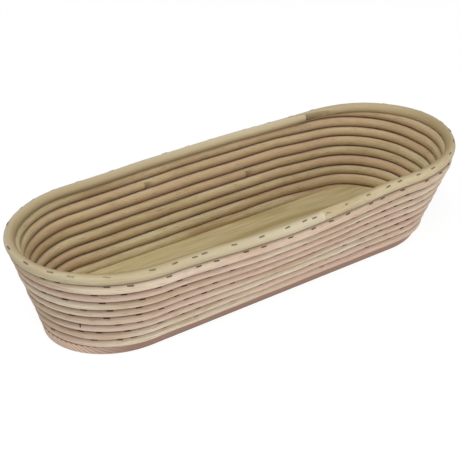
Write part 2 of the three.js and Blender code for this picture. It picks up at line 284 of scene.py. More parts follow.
    def reach(self, place: np.ndarray) -> np.ndarray:
        """How far the wall leans out for each turn that it rises: rise times the flare's tangent.

        Args:
            place: Places round the outline.

        Returns:
            Distances in mm.
        """
        side = self.turn_rise * math.tan(math.radians(self.side_flare))
        end = self.turn_rise * math.tan(math.radians(self.end_flare))
        return self.side_to_end(place, side, end)

    def outline(self, place: np.ndarray, level: np.ndarray, offset: np.ndarray | float = 0.0) -> np.ndarray:
        """Outline at a level: the foot pushed out along its normals by the flare, the bow and an offset.

        Args:
            place: Places round the outline.
            level: Levels, in turns above the foot.
            offset: Further reach in mm.

        Returns:
            Points in the level plane.
        """
        point, normal, bow = self.foot(place % QUARTERS)
        raised = np.maximum(level, 0)
        push = raised * self.reach(place % QUARTERS) + offset + bow * raised / self.top_level
        return point + normal * push[:, None]

    def outward(self, place: np.ndarray, level: np.ndarray) -> np.ndarray:
        """Outward unit vectors, square to the outline's run, from points a small step to both sides.

        Args:
            place: Places round the outline.
            level: Levels, in turns above the foot.

        Returns:
            Vectors in the level plane.
        """
        step = 1e-4
        run = self.outline(place + step, level) - self.outline(place - step, level)
        run /= np.linalg.norm(run, axis=1, keepdims=True)
        return np.stack([run[:, 1], -run[:, 0]], axis=1)

    @property
    def lengths(self) -> np.ndarray:
        """Length run round the outline at mid-height: the steps between the sampled places, summed up.

        Returns:
            Lengths in mm up to each of the places.
        """
        points = self.outline(self.places, np.full_like(self.places, self.top_level / 2))
        steps = np.linalg.norm(np.diff(points, axis=0), axis=1)
        return np.concatenate([[0.0], np.cumsum(steps)])

    def side_place(self, quarter: Quarter, distance: float) -> float:
        """Place on a long side, from its distance from mid-length towards the right end."""
        facing = 1 if quarter is Quarter.BACK else -1
        return quarter + 0.5 - facing * distance / (2 * self.half_straight)

    @property
    def turn_length(self) -> float:
        """Length of one turn at mid-height."""
        return float(self.lengths[-1])

    @property
    def climb_share(self) -> float:
        """Share of a turn over which the winding climbs to the next level."""
        return self.climb_length / self.turn_length

    @property
    def climb_stop(self) -> float:
        """Length run round the outline up to the climb's end."""
        return float(np.interp(self.side_place(Quarter.BACK, self.climb_end), self.places, self.lengths))

    def share_at(self, place: np.ndarray) -> np.ndarray:
        """Share of a turn at a place, measured along the outline at mid-height from the climb's end."""
        run = np.interp(place % QUARTERS, self.places, self.lengths)
        return (run - self.climb_stop) / self.turn_length % 1

    def place_at(self, share: np.ndarray) -> np.ndarray:
        """Place on the outline at a share of a turn."""
        run = (share * self.turn_length + self.climb_stop) % self.turn_length
        return np.interp(run, self.lengths, self.places)

    def wall(self, turns: np.ndarray) -> WallPath:
        """Winding: level turns that climb one rise over the climb, at the level's outline.

        Args:
            turns: Turns run from the end of the first climb.

        Returns:
            The centreline there. Before the first turn it lies straight under that turn, one spacing down.
            The radius is half the distance to the next turn, a little more so that the canes touch, and
            turns that are thicker and thinner follow each other: what one gains the next one loses.
            The first turn is of thicker cane. The wedge under the rim leans out less than a whole turn.
        """
        share = turns - np.floor(turns)
        climb = np.maximum(0, 1 - (1 - share) / self.climb_share)
        level = np.floor(turns) + climb
        place = self.place_at(share)
        under = np.hypot(self.turn_rise, self.reach(place) * np.sqrt(1 - climb**2))
        rise = np.where(level < 0, climb * self.turn_rise - under, level * self.turn_rise)
        above = np.maximum(level - self.top_level, 0)
        flat = self.outline(place, level - (1 - self.wedge_reach) * above)
        bow = self.foot(place)[2] / self.top_level
        half = np.hypot(self.turn_rise, self.reach(place) + bow) / 2 + self.touch
        swing = self.thick_and_thin * np.cos(math.pi * (turns - self.thickest_turn))
        first = self.first_turn_gain * np.clip((1 - level) / self.first_turn_fade, 0, 1)
        return WallPath(np.column_stack([flat, self.foot_height + rise]), self.outward(place, level),
                        half * (1 + swing + first), np.ones_like(half))

    def rim(self, turns: np.ndarray) -> WallPath:
        """Rim: an oval cane on the last turn, whose sizes blend from the long sides to the ends.

        Args:
            turns: Turns run from the end of the climb.

        Returns:
            The centreline there.
        """
        place = self.place_at(turns - np.floor(turns))
        level = np.full_like(place, self.top_level)
        flat = self.outline(place, level, self.side_to_end(place, self.rim_side_reach, self.rim_end_reach))
        height = self.top_height + self.side_to_end(place, self.rim_side_rise, self.rim_end_rise)
        thickness = self.side_to_end(place, self.rim_side_thickness, self.rim_end_thickness)
        width = self.side_to_end(place, self.rim_side_width, self.rim_end_width)
        return WallPath(np.column_stack([flat, height]), self.outward(place, level), width / 2,
                        thickness / width)

    def section(self, theta: np.ndarray, reach: np.ndarray,
                flatness: np.ndarray) -> tuple[np.ndarray, np.ndarray]:
        """Point of a cane's section, whose part along the rim's face is scaled by the flatness.

        Args:
            theta: Angles round the cane in radians: 0 is outwards and a quarter turn is up.
            reach: Distances from the centre in mm.
            flatness: Thickness of the section for one unit of its width.

        Returns:
            Outward and upward parts in mm.
        """
        face = math.radians(self.rim_face)
        squeeze = (flatness - 1) * reach * np.cos(theta - face)
        outward = reach * np.cos(theta) + squeeze * math.cos(face)
        upward = reach * np.sin(theta) + squeeze * math.sin(face)
        return outward, upward


@dataclass(frozen=True)
class Cut:
    """Flat cut on a cane: what lies beyond a distance from its centre, on one side, is taken away.

    Attributes:
        side: Side that the cut is on.
        distance: Distance of the cut from the centre in mm, from the turns run and the height.
    """

    side: CutSide
    distance: Callable[[np.ndarray, np.ndarray], np.ndarray]


@dataclass(frozen=True)
class Scarf:
    """Slanted joint of two canes that follow each other.

    Attributes:
        earlier_to: Turns at which the earlier cane's blunt end stands.
        later_from: Turns at which the later cane's blunt end stands.
        earlier: Cut of the earlier cane.
        later: Cut of the later cane.
    """

    earlier_to: float
    later_from: float
    earlier: Cut
    later: Cut


def make_scarf(shown: float, share: float, radius: float, side: CutSide, later_overlaps: bool,
               blunt_end: float = 2.5) -> Scarf:
    """Scarf whose plane runs straight from one side of the cane to the other.

    Args:
        shown: Turns at which the overlapping cane's blunt end shows.
        share: Length of the joint as a share of a turn.
        radius: Radius of the canes in mm.
        side: Side on which the overlapping cane lies.
        later_overlaps: Whether it is the later cane that lies over the earlier one.
        blunt_end: Thickness in mm of the ends.

    Returns:
        The joint.
    """
    gap = 0.12
    blunt = (blunt_end + gap) / (2 * radius)
    full = 1 - blunt_end / (2 * radius)
    start = shown - (blunt if later_overlaps else full) * share
    earlier_side = side if later_overlaps else side.opposite

    def depth(turns: np.ndarray) -> np.ndarray:
        """Distance of the joint's plane from the centre."""
        return radius * (1 - 2 * (turns - start) / share)

    def before(turns: np.ndarray, height: np.ndarray) -> np.ndarray:
        """Distance of the earlier cane's cut, which leaves cane before the joint whole."""
        return depth(turns)

    def after(turns: np.ndarray, height: np.ndarray) -> np.ndarray:
        """Distance of the later cane's cut, a small gap away."""
        return -depth(turns) - gap

    return Scarf(start + full * share, start + blunt * share, Cut(earlier_side, before),
                 Cut(earlier_side.opposite, after))


def srgb(code: str) -> tuple[float, float, float, float]:
    """Linear colour from an sRGB hex code, by the standard's curve.

    Args:
        code: Code such as "#d8c0a0".

    Returns:
        Linear red, green and blue, and full alpha.
    """
    parts = [int(code[i:i + 2], 16) / 255 for i in (1, 3, 5)]
    linear = [p / 12.92 if p <= 0.04045 else ((p + 0.055) / 1.055) ** 2.4 for p in parts]
    return (*linear, 1.0)


def add_node(tree: bpy.types.NodeTree, kind: str, inputs: dict[str, Any] | None = None) -> bpy.types.Node:
    """Add a node with its settings and links.

    Args:
        tree: Node tree that takes the node.
        kind: Blender's name of the node type.
        inputs: Values of the node's properties, and of its inputs by identifier or name. A socket that
            is given as a value is linked to the input.

    Returns:
        The new node.
    """
    node = tree.nodes.new(kind)
    given = dict(inputs or {})
    for key in [k for k in given if hasattr(node, k)]:
        setattr(node, key, given.pop(key))
    for key, value in given.items():
        exact = [s for s in node.inputs if s.identifier == key]
        socket = (exact or [s for s in node.inputs if s.name == key])[0]
        if isinstance(value, bpy.types.NodeSocket):
            tree.links.new(value, socket)
        else:
            socket.default_value = value
    return node


def new_material(name: str) -> tuple[bpy.types.Material, bpy.types.NodeTree]:
    """Empty node material.

    Args:
        name: Name of the material.

    Returns:
        The material and its tree.
    """
    material = bpy.data.materials.new(name)
    material.use_nodes = True
    material.node_tree.nodes.clear()
    return material, material.node_tree


@dataclass(frozen=True)
class Streaks:
    """Noise drawn out along the grain, and the share of a colour that it brings.

    Attributes:
        length: Length of a streak in mm.
        width: Width of a streak in mm.
        detail: Number of finer layers of noise.
        low: Noise at which the share is nought.
        high: Noise at which the share is full.
        full: Full share.
        roughness: Strength of the finer layers.
        shift: Shift of the noise, in streaks.
    """

    length: float
    width: float
    detail: float
    low: float = 0.0
    high: float = 1.0
    full: float = 1.0
    roughness: float = 0.5
    shift: tuple[float, float, float] = (0.0, 0.0, 0.0)

    def add(self, tree: bpy.types.NodeTree,
            place: bpy.types.NodeSocket) -> tuple[bpy.types.NodeSocket, bpy.types.NodeSocket]:
        """Add the pattern: noise at the place divided by the streak's size, then brought into its range.

        Args:
            tree: Node tree that takes the nodes.
            place: Place in mm, with the grain along x.

        Returns:
            The noise and the share.
        """
        scale = (1 / self.length, 1 / self.width, 1 / self.width)
        streak = add_node(tree, "ShaderNodeMapping", {
            "Scale": scale, "Location": self.shift, "Vector": place,
        })
        noise = add_node(tree, "ShaderNodeTexNoise", {
            "Scale": 1.0, "Detail": self.detail, "Roughness": self.roughness,
            "Vector": streak.outputs["Vector"],
        }).outputs["Fac"]
        share = add_node(tree, "ShaderNodeMapRange", {
            "From Min": self.low, "From Max": self.high, "To Max": self.full, "Value": noise,
        })
        return noise, share.outputs["Result"]


@dataclass(frozen=True)
class PeeledCane:
    """Rattan core, peeled and steam-bent: long fine fibres with pores, matte, no varnish.

    The eye sees thin lengthwise streaks, slow changes of tint along each cane, pale cut ends, and dirt and
    painted shade that darken the grooves where two canes touch.

    Attributes:
        name: Material name.
        pale: Lightest fibre colour.
        deep: Colour of the deeper fibres.
        inner: Tint of the side that faces inwards, darker and warmer: partly the cane's own tint, partly
            painted shade.
        pore: Colour of the fine pores.
        end: Colour of a fresh cut.
        blush: Colour that some stretches lean to.
        groove: Colour of the painted shade and dirt in the grooves.
        fibres: Fibre streaks, drawn about twice as wide as real so that they show.
        fibre_share: Share of the deeper colour that the fibres bring.
        patches: Patches of deeper colour.
        stretches: Long stretches that lean to the blush.
        pores: Fine pores, drawn wider than real so that they show.
        roughness: Roughness between the fibres and on them.
        ior: Refraction of wood.
        gloss: Specular level of bare wood.
        relief: Strength of the fibres' bump.
        relief_height: Height in mm of that bump.
    """

    name: str
    pale: str
    deep: str
    inner: str
    pore: str
    end: str
    blush: str
    groove: str
    fibres: Streaks = Streaks(34.0, 0.55, 3.0, 0.3, 0.75, roughness=0.6)
    fibre_share: float = 0.7
    patches: Streaks = Streaks(70.0, 14.0, 2.0, 0.38, 0.68, 0.6)
    stretches: Streaks = Streaks(260.0, 60.0, 1.0, 0.42, 0.58, 0.85)
    pores: Streaks = Streaks(9.0, 0.4, 1.0, 0.6, 0.74, 0.65, shift=(7.0, 3.0, 5.0))
    roughness: tuple[float, float] = (0.5, 0.72)
    ior: float = 1.45
    gloss: float = 0.14
    relief: float = 0.35
    relief_height: float = 0.25

    def make(self) -> bpy.types.Material:
        """Build the material on the cane's own grain coordinates, which are in mm: colours in layers.

        Returns:
            The material.
        """
        material, tree = new_material(self.name)
        marks = {name: add_node(tree, "ShaderNodeAttribute", {"attribute_name": name}).outputs
                 for name in ("grain", "cut", "inside", "groove")}
        grain = marks["grain"]["Vector"]
        fibre, fibre_share = self.fibres.add(tree, grain)
        patch_share = self.patches.add(tree, grain)[1]
        stretch_share = self.stretches.add(tree, grain)[1]
        pore_share = self.pores.add(tree, grain)[1]
        deep_share = add_node(tree, "ShaderNodeMath", {
            "operation": "MULTIPLY_ADD", "Value": fibre_share, "Value_001": self.fibre_share,
            "Value_002": patch_share,
        }).outputs["Value"]
        layers = (
            (deep_share, self.deep, Layer.PAINT),
            (stretch_share, self.blush, Layer.PAINT),
            (pore_share, self.pore, Layer.PAINT),
            (marks["cut"]["Fac"], self.end, Layer.PAINT),
            # Inward side darkened: partly the cane's own tint, partly painted shade.
            (marks["inside"]["Fac"], self.inner, Layer.STAIN),
            # Painted shade, with some dirt, in the grooves between the canes.
            (marks["groove"]["Fac"], self.groove, Layer.PAINT),
        )
        colour = srgb(self.pale)
        for share, layer, kind in layers:
            colour = add_node(tree, "ShaderNodeMix", {
                "data_type": "RGBA", "blend_type": kind.value, "Factor_Float": share,
                "A_Color": colour, "B_Color": srgb(layer),
            }).outputs[MIXED_COLOUR]
        rough = add_node(tree, "ShaderNodeMapRange", {
            "To Min": self.roughness[0], "To Max": self.roughness[1], "Value": fibre,
        })
        bump = add_node(tree, "ShaderNodeBump", {
            "Strength": self.relief, "Distance": self.relief_height * MM, "Height": fibre,
        })
        shader = add_node(tree, "ShaderNodeBsdfPrincipled", {
            "IOR": self.ior, "Specular IOR Level": self.gloss, "Base Color": colour,
            "Roughness": rough.outputs["Result"], "Normal": bump.outputs["Normal"],
        })
        add_node(tree, "ShaderNodeOutputMaterial", {"Surface": shader.outputs["BSDF"]})
        return material


@dataclass(frozen=True)
class PlanedBoard:
    """Softwood board, planed on top and sawn round its edge, no varnish.

    The eye sees growth rings as long wandering lines on the floor, fine fibres between them, and the
    rings as a hatching where the saw went through the end grain.

    Attributes:
        early: Colour of the pale early wood.
        late: Colour of the darker late wood.
        sawn_early: Colour of the early wood on the sawn edge.
        sawn_late: Colour of the late wood there.
        shaded_sawn_side: Colour of the edge along the grain, darkened as painted shade under the overhanging
            wall.
        ring_width: Width of a growth ring in mm.
        pith: Place in mm of the tree's middle, level and up, which the rings run round.
        wander: Noise that bends the rings.
        ring_wander: How far it bends them, in ring widths.
        late_from: Height of the ring's wave from which the late wood shows.
        late_share: Share of the late wood on the wave's crest.
        fibres: Fibre streaks, drawn wider than real so that they show.
        roughness: Roughness of planed wood.
        gloss: Specular level of bare wood.
        relief: Strength of the fibres' bump.
        relief_height: Height in mm of that bump.
    """

    early: str = "#cdbd92"
    late: str = "#a38e5d"
    sawn_early: str = "#e8d0ba"
    sawn_late: str = "#b08c78"
    shaded_sawn_side: str = "#9d8070"
    ring_width: float = 2.6
    pith: tuple[float, float] = (34.0, -46.0)
    wander: Streaks = Streaks(160.0, 22.0, 2.0)
    ring_wander: float = 2.2
    late_from: float = -0.2
    late_share: float = 0.75
    fibres: Streaks = Streaks(40.0, 0.7, 3.0, 0.42, 0.7, 0.9)
    roughness: float = 0.62
    gloss: float = 0.3
    relief: float = 0.25
    relief_height: float = 0.2

    def make(self) -> bpy.types.Material:
        """Build the material on Object coordinates: rings by the distance from the pith, bent by noise.

        Returns:
            The material.
        """
        material, tree = new_material("planed_softwood")
        place = add_node(tree, "ShaderNodeTexCoord").outputs["Object"]
        in_mm = add_node(tree, "ShaderNodeMapping", {
            "Scale": (1 / MM, 1 / MM, 1 / MM), "Vector": place,
        }).outputs["Vector"]
        wander = self.wander.add(tree, in_mm)[1]
        fibre, fibre_share = self.fibres.add(tree, in_mm)
        from_pith = add_node(tree, "ShaderNodeMapping", {
            "Location": (0.0, -self.pith[0], -self.pith[1]), "Scale": (0.0, 1.0, 1.0), "Vector": in_mm,
        })
        distance = add_node(tree, "ShaderNodeVectorMath", {
            "operation": "LENGTH", "Vector": from_pith.outputs["Vector"],
        })
        rings = add_node(tree, "ShaderNodeMath", {
            "operation": "MULTIPLY_ADD", "Value": wander, "Value_001": self.ring_wander * self.ring_width,
            "Value_002": distance.outputs["Value"],
        })
        phase = add_node(tree, "ShaderNodeMath", {
            "operation": "MULTIPLY", "Value": rings.outputs["Value"],
            "Value_001": FULL_TURN / self.ring_width,
        })
        wave = add_node(tree, "ShaderNodeMath", {"operation": "SINE", "Value": phase.outputs["Value"]})
        late = add_node(tree, "ShaderNodeMapRange", {
            "From Min": self.late_from, "From Max": 1.0, "To Max": self.late_share,
            "Value": wave.outputs["Value"],
        }).outputs["Result"]
        marks = {name: add_node(tree, "ShaderNodeAttribute", {"attribute_name": name}).outputs["Fac"]
                 for name in ("sawn", "end_grain_vs_shaded_side")}
        colours: dict[str, Any] = {
            "early": srgb(self.early), "late": srgb(self.late), "sawn_early": srgb(self.sawn_early),
            "sawn_late": srgb(self.sawn_late), "shaded_sawn_side": srgb(self.shaded_sawn_side),
        }
        mixes = (
            ("ringed", late, "early", "late"),
            ("planed", fibre_share, "ringed", "late"),
            ("hatched", late, "sawn_early", "sawn_late"),
            # The long sides take the darker colour, painted shade under the overhanging wall; the ends show
            # the hatched end grain.
            ("edge", marks["end_grain_vs_shaded_side"], "shaded_sawn_side", "hatched"),
            ("board", marks["sawn"], "planed", "edge"),
        )
        for name, share, first, second in mixes:
            colours[name] = add_node(tree, "ShaderNodeMix", {
                "data_type": "RGBA", "Factor_Float": share, "A_Color": colours[first],
                "B_Color": colours[second],
            }).outputs[MIXED_COLOUR]
        bump = add_node(tree, "ShaderNodeBump", {
            "Strength": self.relief, "Distance": self.relief_height * MM, "Height": fibre,
        })
        shader = add_node(tree, "ShaderNodeBsdfPrincipled", {
            "Roughness": self.roughness, "Specular IOR Level": self.gloss, "Base Color": colours["board"],
            "Normal": bump.outputs["Normal"],
        })
        add_node(tree, "ShaderNodeOutputMaterial", {"Surface": shader.outputs["BSDF"]})
        return material


@dataclass(frozen=True)
class StapleWire:
    """Drawn steel staple wire, dulled by storage.

    The eye sees grey metal with fine mottling, and in the grooves brown dirt with painted shade.

    Attributes:
        name: Material name.
        bright: Colour of the bare wire.
        dull: Colour of the dulled patches.
        metal: Share of bare metal, the rest being brown dirt, and in the grooves painted shade as well.
        mottle: Size in mm of the patches.
        mottle_detail: Number of finer layers of patches.
        roughness: Roughness of the bare wire and of the dulled patches.
    """

    name: str
    bright: str
    dull: str
    metal: float
    mottle: float = 1.6
    mottle_detail: float = 2.0
    roughness: tuple[float, float] = (0.35, 0.6)

    def make(self) -> bpy.types.Material:
        """Build the material on Object coordinates: noise mixes the colours and the roughness.

        Returns:
            The material.
        """
        material, tree = new_material(self.name)
        place = add_node(tree, "ShaderNodeTexCoord").outputs["Object"]
        noise = add_node(tree, "ShaderNodeTexNoise", {
            "Scale": 1 / (self.mottle * MM), "Detail": self.mottle_detail, "Vector": place,
        }).outputs["Fac"]
        colour = add_node(tree, "ShaderNodeMix", {
            "data_type": "RGBA", "Factor_Float": noise, "A_Color": srgb(self.bright),
            "B_Color": srgb(self.dull),
        }).outputs[MIXED_COLOUR]
        rough = add_node(tree, "ShaderNodeMapRange", {
            "To Min": self.roughness[0], "To Max": self.roughness[1], "Value": noise,
        })
        shader = add_node(tree, "ShaderNodeBsdfPrincipled", {
            "Metallic": self.metal, "Base Color": colour, "Roughness": rough.outputs["Result"],
        })
        add_node(tree, "ShaderNodeOutputMaterial", {"Surface": shader.outputs["BSDF"]})
        return material


def mesh_object(name: str, points_mm: np.ndarray, faces: list[list[int]],
                material: bpy.types.Material, smooth_angle: float = 40.0) -> bpy.types.Object:
    """Mesh object at the origin, smooth but for edges sharper than an angle.

    Args:
        name: Object name.
        points_mm: Vertices in mm, one row each.
        faces: Vertex numbers of each face, counter-clockwise from outside.
        material: Its material.
        smooth_angle: Angle in degrees beyond which an edge stays sharp.

    Returns:
        The object, which rides on the basket.
    """
    mesh = bpy.data.meshes.new(name)
    mesh.from_pydata(points_mm * MM, [], faces)
    mesh.materials.append(material)
    mesh.polygons.foreach_set("use_smooth", np.ones(len(faces), dtype=bool))
    mesh.set_sharp_from_angle(angle=math.radians(smooth_angle))
    mesh.update()
    piece = bpy.data.objects.new(name, mesh)
    bpy.context.scene.collection.objects.link(piece)
    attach(piece, "root")
    log.info("%s: %d faces", name, len(faces))
    return piece


def set_attribute(piece: bpy.types.Object, name: str, domain: str, values: np.ndarray) -> None:
    """Store a float or vector attribute on a mesh.

    Args:
        piece: Mesh object.
        name: Attribute name.
        domain: "POINT" or "FACE".
        values: One number, or a row of three, for each point or face.
    """
    kind, key = ("FLOAT_VECTOR", "vector") if values.ndim == 2 else ("FLOAT", "value")
    attribute = piece.data.attributes.new(name, kind, domain)
    attribute.data.foreach_set(key, np.ascontiguousarray(values, dtype=np.float32).ravel())


def tube_faces(rings: int, around: int, order: int) -> list[list[int]]:
    """Quads between the rings of a closed tube, and last the two faces of its ends.

    Args:
        rings: Number of rings.
        around: Number of points in a ring.
        order: 1 where the rings run counter-clockwise seen from the last one, and -1 where they do not.

    Returns:
        Vertex numbers of each face.
    """
    first = np.arange(rings - 1)[:, None] * around
    here = np.arange(around)
    after = (here + 1) % around
    quads = np.stack([first + here, first + after, first + around + after, first + around + here], axis=2)
    ends = np.stack([here[::-1], here + (rings - 1) * around])
    return quads.reshape(-1, 4)[:, ::order].tolist() + ends[:, ::order].tolist()


@dataclass(frozen=True)
class Shade:
    """Painted shade, with some dirt, along a cane: a bell round one angle of its section.

    Attributes:
        angle: Angle of the middle in degrees.
        width: Width of the bell in mm.
        share: Share of painted shade and dirt in the middle, 0 to 1.
    """

    angle: float
    width: float
    share: float


@dataclass(frozen=True)
class Cane:
    """One length of cane, swept along its path.

    Attributes:
        node: CAD node that it stands for.
        path: Centreline, from the turns run.
        shades: Painted shade, with some dirt, along its neighbours.
        start: Turns at which it starts.
        stop: Turns at which it stops.
        cuts: Cuts at its ends.
        staples: Turns of the staples, of which those between its ends dent it.
        staple_angles: Angle in degrees of each of them above level.
        seed: Seed of its natural unevenness.
        fresh_tip: Share of fresh pale wood at the far end.
        pale_start: Share of paler wood that fades away from the near end.
        pale_stop: Share of paler wood that grows towards the far end.
        open_from: Turns from which the outer groove is open to the light.
        open_share: Share of the painted shade and dirt that is left in an open groove.
        tip_length: Length in mm of the fresh tip.
        start_length: Length in mm over which the paler wood of the near end fades.
        stop_length: Length in mm over which that of the far end grows.
        pale_reach: Lengths after which it is gone. What this is over 1 is the part that stays whole.
        sides: Number of points round a section.
        step: Distance in mm between the sections.
        end_steps: Distances in mm of the closer sections from each end.
        end_rounding: Share of the radius that the very ends lose.
        end_length: Length in mm over which they lose it.
        drift: Slow change of the radius, as a share.
        drift_length: Typical length in mm of that change.
        sway: Slow sideways sway in mm.
        sway_length: Typical length in mm of the sway.
        calm_length: Length in mm at each end over which the sway grows.
        dent_depth: Depth in mm of a staple's dent.
        dent_length: Half its length in mm.
        dent_width: Half its width in mm.
    """

    node: str
    path: Callable[[np.ndarray], WallPath]
    shades: tuple[Shade, ...]
    start: float
    stop: float
    cuts: tuple[Cut, ...]
    staples: np.ndarray
    staple_angles: np.ndarray
    seed: Seed
    fresh_tip: float = 0.12
    pale_start: float = 0.0
    pale_stop: float = 0.0
    open_from: float = math.inf
    open_share: float = 0.6
    tip_length: float = 14.0
    start_length: float = 350.0
    stop_length: float = 170.0
    pale_reach: float = 1.2
    sides: int = 32
    step: float = 1.6
    end_steps: tuple[float, ...] = (0.15, 0.4, 0.8)
    end_rounding: float = 0.09
    end_length: float = 0.8
    drift: float = 0.012
    drift_length: float = 90.0
    sway: float = 0.18
    sway_length: float = 60.0
    calm_length: float = 30.0
    dent_depth: float = 0.35
    dent_length: float = 2.8
    dent_width: float = 0.9

    def stations(self, turn_length: float) -> np.ndarray:
        """Turns at which the cane has a section: even steps, with closer ones at the blunt ends.

        Args:
            turn_length: Length of a turn in mm.

        Returns:
            Turns in order.
        """
        count = int((self.stop - self.start) * turn_length / self.step)
        even = np.linspace(self.start, self.stop, count)
        close = np.array(self.end_steps) / turn_length
        return np.sort(np.concatenate([even, self.start + close, self.stop - close]))

    def arcs(self, turns: np.ndarray, height: np.ndarray, radius: np.ndarray) -> np.ndarray:
        """Angles of the points of each section, in even steps over the arc that its cut leaves.

        The cut takes the arc whose half angle has the cosine of distance over radius, and the chord
        between the first and the last point is the cut.

        Args:
            turns: Turns of the sections.
            height: Heights of their centres in mm.
            radius: Their radii in mm.

        Returns:
            Angles in radians, one row for each section.
        """
        distances = np.stack([cut.distance(turns, height) for cut in self.cuts])
        side = np.array([cut.side.value for cut in self.cuts])[distances.argmin(axis=0)]
        limit = np.clip(distances.min(axis=0) / radius, -1, 1)
        gap = np.maximum(np.arccos(limit), math.pi / self.sides)
        roll = np.round(side * self.sides / 360).astype(int)
        place = (np.arange(self.sides) - roll[:, None]) % self.sides
        step = 2 * (math.pi - gap) / (self.sides - 1)
        return np.radians(side)[:, None] + gap[:, None] + place * step[:, None]

    def dents(self, turns: np.ndarray, theta: np.ndarray, radius: np.ndarray,
              turn_length: float) -> np.ndarray:
        """Depth of the staple dents: a flat-topped bump along the cane, times a bell round it.

        Args:
            turns: Turns of the sections.
            theta: Angles of their points in radians.
            radius: Radius of the cane there in mm.
            turn_length: Length of a turn in mm.

        Returns:
            Depths in mm, in the shape of the angles.
        """
        own = (self.staples > self.start) & (self.staples < self.stop)
        off = np.abs(turns[:, None] - self.staples[own]) * turn_length / self.dent_length
        lengthwise = self.dent_depth * np.exp(-(off.min(axis=1) ** 4))
        angle = np.radians(self.staple_angles[own][off.argmin(axis=1)])
        turn = (theta - angle[:, None] + math.pi) % FULL_TURN - math.pi
        return lengthwise[:, None] * np.exp(-((turn * radius[:, None] / self.dent_width) ** 2))

    def painted_shade_and_dirt(self, theta: np.ndarray, radius: np.ndarray) -> np.ndarray:
        """Share of painted shade and dirt: the strongest of the bells, each by the distance round the
        section.

        Args:
            theta: Angles of the sections' points in radians.
            radius: Radius of the cane there in mm.

        Returns:
            Shares from 0 to 1, in the shape of the angles.
        """
        angles = np.radians([s.angle for s in self.shades])
        off = (theta[..., None] - angles + math.pi) % FULL_TURN - math.pi
        bell = np.exp(-((off * radius[:, None, None] / [s.width for s in self.shades]) ** 2))
        return (bell * [s.share for s in self.shades]).max(axis=2)

    def dress(self, piece: bpy.types.Object, turns: np.ndarray, along: np.ndarray, theta: np.ndarray,
              radius: np.ndarray) -> None:
        """Store what the material reads: place in the grain, inner side, painted shade and dirt, and paler
        wood.

        The paler wood is the strongest of the fresh tip and the two fading stretches, each a straight
        fall with the distance from its end. The two end faces are fresh cuts.

        Args:
            piece: The cane.
            turns: Turns of the sections.
            along: Their distances in mm from the near end.
            theta: Angles of their points in radians.
            radius: Radius of the cane there in mm.
        """
        run = np.broadcast_to(along[:, None], theta.shape) + GRAIN_SHIFT * self.seed
        grain = np.stack([run, radius[:, None] * np.cos(theta), radius[:, None] * np.sin(theta)], axis=2)
        set_attribute(piece, "grain", "POINT", grain.reshape(-1, 3))
        # Share of the inward side, which the material darkens, partly as painted shade.
        set_attribute(piece, "inside", "POINT", soft_share(-np.cos(theta)).ravel())
        # Painted shade, with some dirt, in the grooves; less of it where light reaches an open groove.
        is_open = (turns[:, None] > self.open_from) & (np.cos(theta) > 0)
        painted_shade_and_dirt = self.painted_shade_and_dirt(theta, radius) * np.where(is_open, self.open_share, 1.0)
        set_attribute(piece, "groove", "POINT", painted_shade_and_dirt.ravel())
        from_start = along[:-1]
        to_stop = along[-1] - from_start
        pale = np.max([
            self.fresh_tip * np.clip(1 - to_stop / self.tip_length, 0, 1),
            self.pale_stop * np.clip(self.pale_reach - to_stop / self.stop_length, 0, 1),
            self.pale_start * np.clip(self.pale_reach - from_start / self.start_length, 0, 1),
        ], axis=0)
        set_attribute(piece, "cut", "FACE", np.append(np.repeat(pale, self.sides), [1.0, 1.0]))

    def build(self, form: BasketForm, material: bpy.types.Material) -> bpy.types.Object:
        """Sweep a round section along the path, with drift, staple dents, rounded blunt ends and cuts.

        Args:
            form: Form of the basket.
            material: Material of the cane.

        Returns:
            The piece.
        """
        turns = self.stations(form.turn_length)
        along = (turns - self.start) * form.turn_length
        end_distance = np.minimum(along, along[-1] - along)
        path = self.path(turns)
        height = path.centre[:, 2]
        thickness = path.radius * (1 + self.drift * natural_drift(along, self.drift_length, self.seed))
        rounding = 1 - self.end_rounding * np.clip(1 - end_distance / self.end_length, 0, 1) ** 2
        radius = thickness * rounding
        theta = self.arcs(turns, height, radius)
        reach = radius[:, None] - self.dents(turns, theta, path.radius, form.turn_length)
        outward, upward = form.section(theta, reach, path.flatness[:, None])
        sway = self.sway * natural_drift(along, self.sway_length, self.seed + 1)
        outward = outward + (sway * np.clip(end_distance / self.calm_length, 0, 1))[:, None]
        flat = path.centre[:, None, :2] + path.outward[:, None, :] * outward[..., None]
        points = np.concatenate([flat, (height[:, None] + upward)[..., None]], axis=2)
        faces = tube_faces(len(turns), self.sides, -1)
        piece = mesh_object(self.node + "_fine", points.reshape(-1, 3), faces, material)
        self.dress(piece, turns, along, theta, path.radius)
        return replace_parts(piece, self.node)


